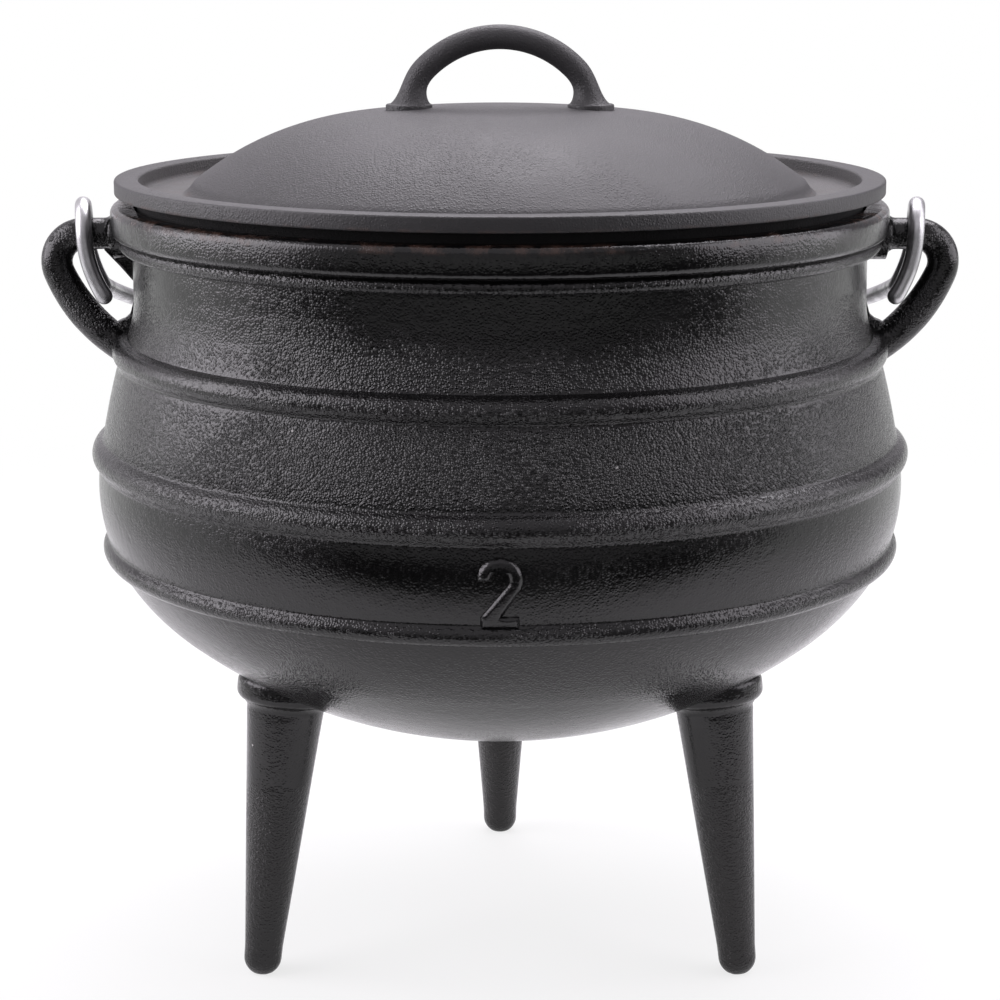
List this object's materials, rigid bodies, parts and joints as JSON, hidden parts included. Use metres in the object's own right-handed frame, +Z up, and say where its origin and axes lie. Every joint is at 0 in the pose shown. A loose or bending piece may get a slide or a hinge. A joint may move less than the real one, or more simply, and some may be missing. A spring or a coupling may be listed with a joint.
{
  "type": "potjie pot",
  "caption": "Round-bellied cast-iron cooking pot on tapered legs, with raised bands, a domed lid with a loop handle, and a wire bail hooked over cast ears.",
  "frame": {"origin": "on the ground under the middle of the pot, in the plane that the feet stand on", "axes": "+Z up, +Y to the back, where the bail hangs, and +X to the right through one ear; the raised number faces -Y"},
  "size_m": [0.2742, 0.2451, 0.2788],
  "materials": {
    "pot_iron": "black coated cast iron, satin, with a fine orange-peel skin",
    "lid_iron": "dark grey coated cast iron, matt, with a fine sandy grain",
    "bail_zinc": "bright galvanised steel wire"
  },
  "bodies": {
    "pot": {"pot": "pot_iron", "lid": "lid_iron"},
    "bail": {"bail": "bail_zinc"}
  },
  "joints": [
    {"name": "bail_swing", "type": "hinge", "parent": "pot", "child": "bail", "pos_m": [0, 0, 0.2175], "axis": [1, 0, 0], "range_deg": [0, 212]}
  ]
}
